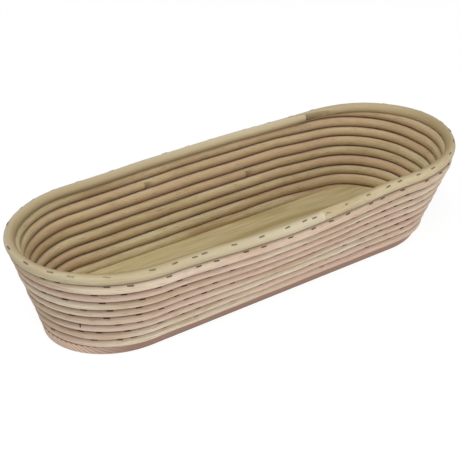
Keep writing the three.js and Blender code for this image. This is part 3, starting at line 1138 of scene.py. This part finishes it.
@dataclass(frozen=True)
class StapleShape:
    """Narrow wire staple, in mm: a flat crown with bent shoulders and two legs.

    Attributes:
        crown: Length of the crown.
        leg: Length of the legs.
        thickness: Thickness of the wire, outwards.
        width: Width of the wire.
        bend: Size of the slanted shoulders.
        sink: How deep the crown's seat lies in the cane.
    """

    crown: float = 4.5
    leg: float = 6.0
    thickness: float = 0.75
    width: float = 0.78
    bend: float = 0.3
    sink: float = 0.55

    def template(self) -> tuple[np.ndarray, list[list[int]]]:
        """Outline of the staple, carried across the wire's width. The crown lies along x, out is y.

        Returns:
            Points and faces of one staple whose seat is at the origin.
        """
        half = self.crown / 2
        inner = half - self.thickness
        right = np.array([[inner, 0], [inner, -self.leg], [half, -self.leg],
                          [half, self.thickness - self.bend], [half - self.bend, self.thickness]])
        left = right[::-1] * [-1, 1]
        outline = np.concatenate([right, left])
        count = len(outline)
        near = np.column_stack([outline, np.full(count, self.width / 2)])
        far = np.column_stack([outline, np.full(count, -self.width / 2)])
        return np.concatenate([near, far]), tube_faces(2, count, -1)

    def place(self, form: BasketForm, path: WallPath, angle: np.ndarray, lean: np.ndarray,
              proud: np.ndarray, twist: np.ndarray) -> tuple[np.ndarray, list[list[int]]]:
        """Copies of the staple on a cane: crown along the cane, at an angle above level.

        Args:
            form: Form of the basket.
            path: Centreline where the staples are.
            angle: Angle of each crown round the cane in radians.
            lean: Direction in radians that each staple stands out in.
            proud: Height in mm that each crown stands out further.
            twist: Turn of each crown in radians, away from the run of the cane.

        Returns:
            Points and faces of all the copies.
        """
        points, faces = self.template()
        level = np.column_stack([path.outward, np.zeros(len(angle))])
        up = np.array([0.0, 0.0, 1.0])
        along = np.cross(up, level)
        out = level * np.cos(lean)[:, None] + up * np.sin(lean)[:, None]
        across = np.cross(along, out)
        turned = along * np.cos(twist)[:, None] + across * np.sin(twist)[:, None]
        sideways = across * np.cos(twist)[:, None] - along * np.sin(twist)[:, None]
        outward_part, up_part = form.section(angle, path.radius, path.flatness)
        on_cane = level * outward_part[:, None] + up * up_part[:, None]
        seat = path.centre + on_cane + out * (proud - self.sink)[:, None]
        axes = np.stack([turned, out, sideways], axis=1)
        copies = seat[:, None, :] + np.einsum("pk,nkc->npc", points, axes)
        starts = np.arange(len(angle)) * len(points)
        all_faces = [row for face in faces for row in (starts[:, None] + face).tolist()]
        return copies.reshape(-1, 3), all_faces


def nearest_turns(names: list[str], path: Callable[[np.ndarray], WallPath]) -> np.ndarray:
    """Turns of a path, within its first turn, that lie nearest to the middles of some CAD nodes.

    Args:
        names: Names of the nodes.
        path: Centreline, from the turns run.

    Returns:
        Turns, one for each node.
    """
    boxes = np.array([[list(corner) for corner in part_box(n)] for n in names]) / MM
    middles = boxes.mean(axis=1)[:, :2]
    nearly_whole, samples = 0.9999, 4001
    turns = np.linspace(0, nearly_whole, samples)
    line = path(turns).centre[:, :2]
    return turns[np.linalg.norm(middles[:, None, :] - line[None, :, :], axis=2).argmin(axis=1)]


@dataclass(frozen=True)
class StapleRow:
    """Staples that stand for CAD nodes, one piece for each node.

    Attributes:
        names: CAD nodes.
        turns: Turns at which they sit.
        path: Centreline of the cane that they hold.
        angles: Angle in degrees of each crown above level.
        shape: Shape of the staples.
        seed: Seed of their unevenness.
        angle_spread: How far in degrees an angle may be off.
        twist_spread: How far in degrees a crown may be turned.
        proud_spread: How far in mm a crown may lie higher or deeper.
    """

    names: list[str]
    turns: np.ndarray
    path: Callable[[np.ndarray], WallPath]
    angles: np.ndarray
    shape: StapleShape
    seed: Seed
    angle_spread: float = 5.0
    twist_spread: float = 6.0
    proud_spread: float = 0.1

    def build(self, form: BasketForm, depth: np.ndarray, wire: bpy.types.Material) -> None:
        """Build the staples, each in the place of its node.

        Args:
            form: Form of the basket.
            depth: How much deeper in mm each crown lies than on a whole cane.
            wire: Material of the wire.
        """
        rng = np.random.default_rng(self.seed)
        count = len(self.names)
        angle = np.radians(self.angles + rng.uniform(-self.angle_spread, self.angle_spread, count))
        twist = np.radians(rng.uniform(-self.twist_spread, self.twist_spread, count))
        proud = rng.uniform(-self.proud_spread, self.proud_spread, count) - depth
        for i, name in enumerate(self.names):
            own = slice(i, i + 1)
            points, faces = self.shape.place(form, self.path(self.turns[own]), angle[own], angle[own],
                                             proud[own], twist[own])
            piece = mesh_object(name + "_fine", points, faces, wire)
            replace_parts(piece, name)


@dataclass
class Wall:
    """Wall of the basket: the winding of three spliced canes and the staples that hold each turn.

    Attributes:
        form: Form of the basket.
        splice_length: Length of a splice in mm.
        splice_end: Thickness in mm of its ends.
        lower_splice: Turn and place along the back, in mm from mid-length, of the lower splice.
        upper_splice: The same of the upper splice.
        tip: Thickness in mm of the wedges at the winding's two ends.
        staple_spacing: Mean distance in mm between the staples of a turn.
        staple_angle: Angle in degrees of the crowns above level.
        foot_angle: The same of the staples that go into the board.
        lean: How much steeper in degrees the staples stand than the cane's surface under their crowns.
        stray: Turn and place round the outline of a staple driven upright.
        stray_twist: Turn in degrees of that staple's crown.
        spacing_spread: How far a staple may be off its even place, as a share of the spacing.
        angle_spread: How far in degrees an angle may be off.
        twist_spread: How far in degrees a crown may be turned.
        proud_range: How far in mm a crown may lie deeper or higher.
        bare_end: Turns at the winding's end that have no staple.
        wedge_press: How far in mm the last wedge presses into the rim.
        shades: Painted shade and dirt in the grooves, and painted shade of the turn above on the outside.
        staples: Shape of its staples.
    """

    form: BasketForm
    splice_length: float = 45.0
    splice_end: float = 1.7
    lower_splice: tuple[int, float] = (4, 43.0)
    upper_splice: tuple[int, float] = (6, -53.0)
    tip: float = 1.1
    staple_spacing: float = 20.0
    staple_angle: float = 39.0
    foot_angle: float = 26.0
    lean: float = 12.0
    stray: tuple[int, float] = (2, 2.7)
    stray_twist: float = 75.0
    spacing_spread: float = 0.3
    angle_spread: float = 4.0
    twist_spread: float = 5.0
    proud_range: tuple[float, float] = (-0.12, 0.1)
    bare_end: float = 0.03
    wedge_press: float = 0.15
    # Bells of painted shade and dirt: the grooves and, on the outside, the shade of the overhanging turn
    # above.
    shades: tuple[Shade, ...] = (Shade(57, 1.7, 0.97), Shade(45, 3.2, 0.42), Shade(80, 1.1, 0.6),
                                 Shade(245, 2.9, 1.0), Shade(232, 4.5, 0.2))
    staples: StapleShape = field(default_factory=StapleShape)

    def splice(self, turn: int, distance: float) -> Scarf:
        """Splice that shows on the inside of the back wall.

        Args:
            turn: Turn that it is on.
            distance: Place of its shown end in mm from mid-length towards the right end.

        Returns:
            The joint.
        """
        place = np.array([self.form.side_place(Quarter.BACK, distance)])
        shown = turn + float(self.form.share_at(place)[0])
        share = self.splice_length / self.form.turn_length
        return make_scarf(shown, share, self.form.turn_spacing / 2, CutSide.INWARD, True, self.splice_end)

    def wedge_cuts(self) -> tuple[Cut, Cut]:
        """Level cuts of the winding's two ends: on the board's lip, and under the rim.

        Returns:
            The cut of the first turn and that of the last climb.
        """
        form = self.form
        ceiling = form.top_height + form.turn_spacing / 2
        uncut = form.turn_spacing

        def below(turns: np.ndarray, height: np.ndarray) -> np.ndarray:
            """Distance down to the lip, over the first turn only."""
            return np.where(turns < 1, height - form.lip_height, uncut)

        def above(turns: np.ndarray, height: np.ndarray) -> np.ndarray:
            """Distance up to the rim, over the last climb only."""
            climbing = turns > form.wall_turns - form.climb_share
            return np.where(climbing, ceiling - height + self.wedge_press, uncut)

        return Cut(CutSide.DOWN, below), Cut(CutSide.UP, above)

    def staple_turns(self, foot: np.ndarray, last: float) -> np.ndarray:
        """Turns of the staples: even steps of the mean distance, each shifted by a seeded share of it.

        Args:
            foot: Turns of the staples at the board, near which there is no other.
            last: Turns at which the winding stops.

        Returns:
            Turns in order.
        """
        form = self.form
        rng = np.random.default_rng(Seed.STAPLE_SPACING)
        count = int(form.wall_turns * form.turn_length / self.staple_spacing)
        shift = rng.uniform(-self.spacing_spread, self.spacing_spread, count)
        turns = (np.arange(count) + 0.5 + shift) * self.staple_spacing / form.turn_length
        turns = turns[turns < last - self.bare_end]
        apart = np.abs(turns[:, None] - foot).min(axis=1) * form.turn_length
        return turns[apart > self.staple_spacing / 2]

    def build_staples(self, staples: np.ndarray, wire: bpy.types.Material) -> None:
        """Build the staples between the turns, one piece for each turn.

        Args:
            staples: Turns at which they sit.
            wire: Material of the wire.
        """
        form = self.form
        rng = np.random.default_rng(Seed.WALL_STAPLES)
        stray_turn, stray_place = self.stray
        stray_share = form.share_at(np.array([stray_place]))[0]
        for turn in range(form.wall_turns):
            own = staples[np.floor(staples) == turn]
            spread = rng.uniform(-self.angle_spread, self.angle_spread, len(own))
            angle = np.radians(self.staple_angle + spread)
            proud = rng.uniform(*self.proud_range, len(own))
            twist = np.radians(rng.uniform(-self.twist_spread, self.twist_spread, len(own)))
            if turn == stray_turn:
                twist[np.abs(own % 1 - stray_share).argmin()] = math.radians(self.stray_twist)
            lean = angle + math.radians(self.lean)
            points, faces = self.staples.place(form, form.wall(own), angle, lean, proud, twist)
            piece = mesh_object(f"wall_staples_turn_{turn + 1}", points, faces, wire)

    def build(self, cane: bpy.types.Material, wire: bpy.types.Material,
              foot_wire: bpy.types.Material) -> None:
        """Build the staples at the board, the three canes and, turn by turn, the other staples.

        Args:
            cane: Material of the canes.
            wire: Material of the staples between the turns.
            foot_wire: Material of the staples at the board.
        """
        form = self.form
        names = [n for n in frame["nodes"] if n.startswith("foot_staple")]
        foot = nearest_turns(names, form.wall)
        angles = np.full(len(names), self.foot_angle)
        row = StapleRow(names, foot, form.wall, angles, self.staples, Seed.BOARD_STAPLES)
        row.build(form, np.zeros(len(names)), foot_wire)
        lower = self.splice(*self.lower_splice)
        upper = self.splice(*self.upper_splice)
        start_cut, end_cut = self.wedge_cuts()
        wedge = min((form.turn_spacing - self.tip) / form.turn_rise, 1)
        first = -form.climb_share * wedge
        last = form.wall_turns - form.climb_share * (1 - wedge)
        staples = self.staple_turns(foot, last)
        angles = np.full(len(staples), self.staple_angle)
        lower_cuts = (start_cut, lower.earlier)
        middle_cuts = (lower.later, upper.earlier)
        upper_cuts = (upper.later, end_cut)
        lengths = [
            ("wall_cane_lower", Seed.LOWER_CANE, first, lower.earlier_to, lower_cuts),
            ("wall_cane_middle", Seed.MIDDLE_CANE, lower.later_from, upper.earlier_to, middle_cuts),
            ("wall_cane_upper", Seed.UPPER_CANE, upper.later_from, last, upper_cuts),
        ]
        for node, seed, start, stop, cuts in lengths:
            length = Cane(node, form.wall, self.shades, start, stop, cuts, staples, angles, seed,
                          open_from=form.top_level)
            length.build(form, cane)
        self.build_staples(staples, wire)


@dataclass
class Rim:
    """Rim: two oval canes on the last turn, joined by a long scarf at the back and one at the front.

    Attributes:
        form: Form of the basket.
        joint_length: Length of each scarf in mm.
        back_joint: Place of the back joint in mm from mid-length.
        front_joint: Place of the front joint.
        front_angle: Angle in degrees of the front side's crowns above level.
        back_angle: The same of the back side's.
        left_pale: Shares of paler wood on the left cane: at its tip, near its start and near its stop.
        right_pale: The same of the right cane.
        shades: Painted shade and dirt where it lies on the last turn.
        staples: Shape of its staples.
    """

    form: BasketForm
    joint_length: float = 105.0
    back_joint: float = 109.0
    front_joint: float = 15.0
    front_angle: float = 55.0
    back_angle: float = 43.0
    left_pale: tuple[float, float, float] = (0.6, 0.9, 0.38)
    right_pale: tuple[float, float, float] = (0.0, 0.0, 0.45)
    # Bells of painted shade and dirt under the rim.
    shades: tuple[Shade, ...] = (Shade(247, 2.2, 0.97), Shade(225, 3.6, 0.26))
    staples: StapleShape = field(default_factory=lambda: StapleShape(crown=4.8, width=0.95, sink=0.62))

    def staple_angles(self, turns: np.ndarray) -> np.ndarray:
        """Angle of the staples, which changes from the front to the back as the rim's outward normal does.

        Args:
            turns: Turns at which they sit.

        Returns:
            Angles in degrees above level.
        """
        backward = soft_share(self.form.rim(turns).outward[:, 1])
        return self.front_angle + (self.back_angle - self.front_angle) * backward

    def build(self, left: bpy.types.Material, right: bpy.types.Material, wire: bpy.types.Material) -> None:
        """Build the two canes and their staples, which lie deeper where they hold the front joint's slant.

        Args:
            left: Material of the left cane.
            right: Material of the right cane.
            wire: Material of the staples.
        """
        form = self.form
        share = self.joint_length / form.turn_length
        places = [form.side_place(Quarter.BACK, self.back_joint),
                  form.side_place(Quarter.FRONT, self.front_joint)]
        back, front = form.share_at(np.array(places)).tolist()
        radius = form.rim_side_width / 2
        first = make_scarf(back, share, radius, CutSide.INWARD, True)
        middle = make_scarf(front + 1, share, radius, CutSide.OUTER_TOP, False)
        last = make_scarf(back + 1, share, radius, CutSide.INWARD, True)
        names = [n for n in frame["nodes"] if n.startswith("rim_staple")]
        once = nearest_turns(names, form.rim)
        # The canes run past whole turns, so each staple also counts one turn earlier, and one and two later.
        staples = np.concatenate([once - 1, once, once + 1, once + 2])
        angles = self.staple_angles(staples)
        left_cane = Cane("rim_cane_left", form.rim, self.shades, first.later_from, middle.earlier_to,
                         (first.later, middle.earlier), staples, angles, Seed.LEFT_RIM, *self.left_pale)
        right_cane = Cane("rim_cane_right", form.rim, self.shades, middle.later_from, last.earlier_to,
                          (middle.later, last.earlier), staples, angles, Seed.RIGHT_RIM, *self.right_pale)
        for cane, material in ((left_cane, left), (right_cane, right)):
            cane.build(form, material)
        slant = radius - middle.later.distance(once + 1, np.zeros(len(names)))
        depth = np.where(once + 1 > middle.earlier_to, np.maximum(slant, 0), 0)
        row = StapleRow(names, once, form.rim, self.staple_angles(once), self.staples, Seed.RIM_STAPLES)
        row.build(form, depth, wire)


@dataclass
class Board:
    """Base board, in mm and degrees: a sawn lip that carries the lowest turn, and a planed floor inside it.

    Attributes:
        form: Form of the basket.
        lip_side_reach: Reach of the lip beyond the foot outline at the sides.
        lip_end_reach: Reach of the lip beyond the foot outline at the ends.
        lip_bevel: Slant of the sawn edge.
        lip_chamfer: Size of the broken upper edge of the lip.
        floor_inset: Distance of the floor's edge inside the foot outline.
        rounding: Radius of the softened edges.
        arc_points: Number of points in a softened edge.
        places_per_quarter: Number of points in a quarter of the outline.
        end_grain_vs_shaded_side: Share of end grain at the sides and at the ends, before it is kept within 0
            and 1; the rest is the darker edge of painted shade.
    """

    form: BasketForm
    lip_side_reach: float = 0.2
    lip_end_reach: float = 3.2
    lip_bevel: float = 14.0
    lip_chamfer: float = 0.4
    floor_inset: float = 4.225
    rounding: float = 0.6
    arc_points: int = 5
    places_per_quarter: int = 64
    end_grain_vs_shaded_side: tuple[float, float] = (-0.1, 1.6)

    def profile(self, thickness: float) -> tuple[np.ndarray, np.ndarray]:
        """Edge of the board from below: quarter circles at its foot and its top, a chamfer on the lip.

        Args:
            thickness: Thickness of the board.

        Returns:
            Points of the lip and points of the floor's edge, each a height and an offset.
        """
        turn = np.linspace(0, math.pi / 2, self.arc_points)
        foot = self.rounding * np.column_stack([1 - np.cos(turn), np.sin(turn) - 1])
        top = self.rounding * np.column_stack([np.sin(turn) - 1, np.cos(turn) - 1]) + [thickness, 0]
        lip = self.form.lip_height
        outer = np.concatenate([foot, [[lip - self.lip_chamfer, 0], [lip, -self.lip_chamfer]]])
        inner = np.concatenate([[[lip, 0]], top])
        return outer, inner

    def build(self, material: bpy.types.Material) -> None:
        """Carry the profile round the foot outline: each of its points is a height and an offset.

        Args:
            material: Material of the board.
        """
        form = self.form
        outer, inner = self.profile(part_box("base_board")[1].z / MM)
        place = np.arange(QUARTERS * self.places_per_quarter) / self.places_per_quarter
        reach = form.side_to_end(place, self.lip_side_reach, self.lip_end_reach)
        slope = math.tan(math.radians(self.lip_bevel))
        outer_offset = reach + outer[:, 1:] - (form.lip_height - outer[:, :1]) * slope
        inner_offset = np.broadcast_to(inner[:, 1:] - self.floor_inset, (len(inner), len(place)))
        offset = np.concatenate([outer_offset, inner_offset])
        height = np.concatenate([outer[:, 0], inner[:, 0]])
        flat = np.stack([form.outline(place, np.zeros_like(place), row) for row in offset])
        up = np.broadcast_to(height[:, None, None], (*flat.shape[:2], 1))
        points = np.concatenate([flat, up], axis=2).reshape(-1, 3)
        faces = tube_faces(len(height), len(place), 1)
        piece = mesh_object("base_board_fine", points, faces, material)
        sawn = np.zeros(len(faces))
        sawn[:len(outer) * len(place)] = 1.0
        set_attribute(piece, "sawn", "FACE", sawn)
        # Low at the long sides, which take the painted shade; high at the ends, which show end grain.
        end_grain_vs_shaded_side = np.clip(form.side_to_end(place, *self.end_grain_vs_shaded_side), 0, 1)
        set_attribute(piece, "end_grain_vs_shaded_side", "POINT", np.tile(end_grain_vs_shaded_side, len(height)))
        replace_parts(piece, "base_board")


@dataclass(frozen=True)
class Lamp:
    """Square soft lamp that faces the basket.

    Attributes:
        name: Name of the lamp.
        place: Its place in metres.
        size: Its side in metres.
        power: Its power in watts.
    """

    name: str
    place: tuple[float, float, float]
    size: float
    power: float

    def build(self) -> None:
        """Add the lamp to the scene, turned to the origin."""
        data = bpy.data.lights.new(self.name, "AREA")
        data.size = self.size
        data.energy = self.power
        lamp = bpy.data.objects.new(self.name, data)
        lamp.location = self.place
        lamp.rotation_euler = (-Vector(self.place)).to_track_quat("-Z", "Y").to_euler()
        bpy.context.scene.collection.objects.link(lamp)


@dataclass(frozen=True)
class Studio:
    """Plain studio: white floor, even sky, soft lamps and the camera at the photograph's place.

    Attributes:
        image_size: Side of the picture in pixels.
        distance: Distance in mm from the origin to the camera.
        yaw: Turn of the camera round the basket in degrees.
        pitch: Height of the camera above level in degrees.
        roll: Tilt of the picture in degrees.
        focal_px: Focal length in pixels.
        middle_px: Place of the optical axis in the picture.
        sensor: Width in mm of the camera's sensor.
        clip: Nearest and furthest distance in metres that the camera sees.
        sky_strength: Strength of the sky's light.
        floor_colour: Colour of the floor.
        floor_half: Half the floor's side in metres.
        floor_drop: Depth in metres of the floor under the board.
        white_strength: Strength of the floor's plain white.
        white_from: Distance in metres from the basket, and share of plain white up to there.
        white_to: Distance in metres from the basket, and share of plain white beyond it.
        lamps: The soft lamps.
    """

    image_size: int = 460
    distance: float = 987.4
    yaw: float = -39.666
    pitch: float = 32.696
    roll: float = 3.335
    focal_px: float = 1250.8
    middle_px: tuple[float, float] = (242.7, 266.7)
    sensor: float = 36.0
    clip: tuple[float, float] = (0.05, 50.0)
    sky_strength: float = 0.1
    floor_colour: str = "#f4f4f4"
    floor_half: float = 4.0
    floor_drop: float = 0.0002
    white_strength: float = 1.08
    white_from: tuple[float, float] = (0.5, 0.86)
    white_to: tuple[float, float] = (2.5, 0.99)
    lamps: tuple[Lamp, ...] = (
        Lamp("top_lamp", (-0.45, -0.25, 1.15), 0.9, 12.0),
        Lamp("front_lamp", (0.6, -1.15, 0.34), 0.8, 7.7),
        Lamp("left_lamp", (-0.9, -0.9, 0.55), 0.9, 2.5),
    )

    def camera(self) -> None:
        """Camera whose axes come from the yaw, the pitch and the roll."""
        yaw, pitch, roll = (math.radians(a) for a in (self.yaw, self.pitch, self.roll))
        back = Vector((math.sin(yaw) * math.cos(pitch), -math.cos(yaw) * math.cos(pitch), math.sin(pitch)))
        right = Vector((math.cos(yaw), math.sin(yaw), 0))
        up = back.cross(right)
        turned_right = right * math.cos(roll) + up * math.sin(roll)
        turned_up = up * math.cos(roll) - right * math.sin(roll)
        data = bpy.data.cameras.new("photo_camera")
        data.sensor_width = self.sensor
        data.lens = self.focal_px * self.sensor / self.image_size
        data.shift_x = (self.image_size / 2 - self.middle_px[0]) / self.image_size
        data.shift_y = (self.middle_px[1] - self.image_size / 2) / self.image_size
        data.clip_start, data.clip_end = self.clip
        camera = bpy.data.objects.new("photo_camera", data)
        axes = Matrix((turned_right, turned_up, back)).transposed().to_4x4()
        camera.matrix_world = Matrix.Translation(back * self.distance * MM) @ axes
        bpy.context.scene.collection.objects.link(camera)
        bpy.context.scene.camera = camera

    @staticmethod
    def seen_directly(tree: bpy.types.NodeTree) -> bpy.types.NodeSocket:
        """Share that is 1 for what the camera sees, also in mirrors and through glass, and 0 for light.

        Args:
            tree: Node tree that takes the nodes.

        Returns:
            The largest of the three ray tests.
        """
        rays = add_node(tree, "ShaderNodeLightPath").outputs
        seen = rays["Is Camera Ray"]
        for test in ("Is Glossy Ray", "Is Transmission Ray"):
            larger = {"operation": "MAXIMUM", "Value": seen, "Value_001": rays[test]}
            seen = add_node(tree, "ShaderNodeMath", larger).outputs["Value"]
        return seen

    def floor(self) -> None:
        """White floor that keeps a faint shadow: mostly plain white to the eye and to mirrors."""
        material, tree = new_material("studio_floor")
        place = add_node(tree, "ShaderNodeTexCoord").outputs["Object"]
        away = add_node(tree, "ShaderNodeVectorMath", {"operation": "LENGTH", "Vector": place})
        white_share = add_node(tree, "ShaderNodeMapRange", {
            "From Min": self.white_from[0], "From Max": self.white_to[0],
            "To Min": self.white_from[1], "To Max": self.white_to[1], "Value": away.outputs["Value"],
        })
        share = add_node(tree, "ShaderNodeMath", {
            "operation": "MULTIPLY", "Value": self.seen_directly(tree),
            "Value_001": white_share.outputs["Result"],
        })
        paper = add_node(tree, "ShaderNodeBsdfDiffuse", {"Color": srgb(self.floor_colour)})
        white = add_node(tree, "ShaderNodeEmission", {
            "Color": srgb("#ffffff"), "Strength": self.white_strength,
        })
        mix = add_node(tree, "ShaderNodeMixShader", {
            "Fac": share.outputs["Value"], "Shader": paper.outputs["BSDF"],
            "Shader_001": white.outputs["Emission"],
        })
        add_node(tree, "ShaderNodeOutputMaterial", {"Surface": mix.outputs["Shader"]})
        corners = np.array([[-1, -1], [1, -1], [1, 1], [-1, 1]]) * self.floor_half
        points = np.column_stack([corners, np.full(len(corners), -self.floor_drop)])
        mesh = bpy.data.meshes.new("floor")
        mesh.from_pydata(points, [], [range(len(corners))])
        mesh.materials.append(material)
        floor = bpy.data.objects.new("floor", mesh)
        bpy.context.scene.collection.objects.link(floor)

    def sky(self) -> None:
        """Even white light from all round, seen as white."""
        world = bpy.data.worlds.new("studio_sky")
        world.use_nodes = True
        tree = world.node_tree
        tree.nodes.clear()
        strength = add_node(tree, "ShaderNodeMapRange", {
            "To Min": self.sky_strength, "To Max": 1.0, "Value": self.seen_directly(tree),
        })
        light = add_node(tree, "ShaderNodeBackground", {
            "Color": srgb("#ffffff"), "Strength": strength.outputs["Result"],
        })
        add_node(tree, "ShaderNodeOutputWorld", {"Surface": light.outputs["Background"]})
        bpy.context.scene.world = world

    def build(self) -> None:
        """Set up the view, the sky, the floor, the lamps and the camera."""
        bpy.context.scene.view_settings.view_transform = "Standard"
        self.sky()
        self.floor()
        for lamp in self.lamps:
            lamp.build()
        self.camera()


def main() -> None:
    """Build the basket piece by piece, then the studio."""
    logging.basicConfig(level=logging.INFO, format="%(name)s: %(message)s")
    # The wall's cane is pinkish. The rim's two lengths are straw-coloured, and the right one is paler.
    # Each inner tint is partly painted shade on the canes' inward side.
    wall_cane = PeeledCane("peeled_rattan", pale="#efe3cc", deep="#c5a98c", inner="#dfdcc2", pore="#8d7358",
                           end="#e4dac4", blush="#dcbfac", groove="#46200e").make()
    left_rim = PeeledCane("peeled_rattan_straw", pale="#bfb291", deep="#a6946c", inner="#dcd2c0",
                          pore="#98825e", end="#ebe2cc", blush="#ad9d77", groove="#5c4630").make()
    right_rim = PeeledCane("peeled_rattan_pale", pale="#cfc2a2", deep="#b6a37f", inner="#e8e0d0",
                           pore="#98825e", end="#e6dcc8", blush="#c0b08e", groove="#5c4630").make()
    wire = StapleWire("dull_staple_wire", bright="#857863", dull="#5c5040", metal=0.8).make()
    # The wall's staples sit in the grooves: brown with dirt, and darkened as painted shade.
    dusty_shaded_wire = StapleWire("dusty_shaded_staple_wire", bright="#5c3e28", dull="#3a2416", metal=0.15).make()
    form = BasketForm()
    Board(form).build(PlanedBoard().make())
    Wall(form).build(wall_cane, dusty_shaded_wire, wire)
    Rim(form).build(left_rim, right_rim, wire)
    Studio().build()


if __name__ == "__main__":
    main()
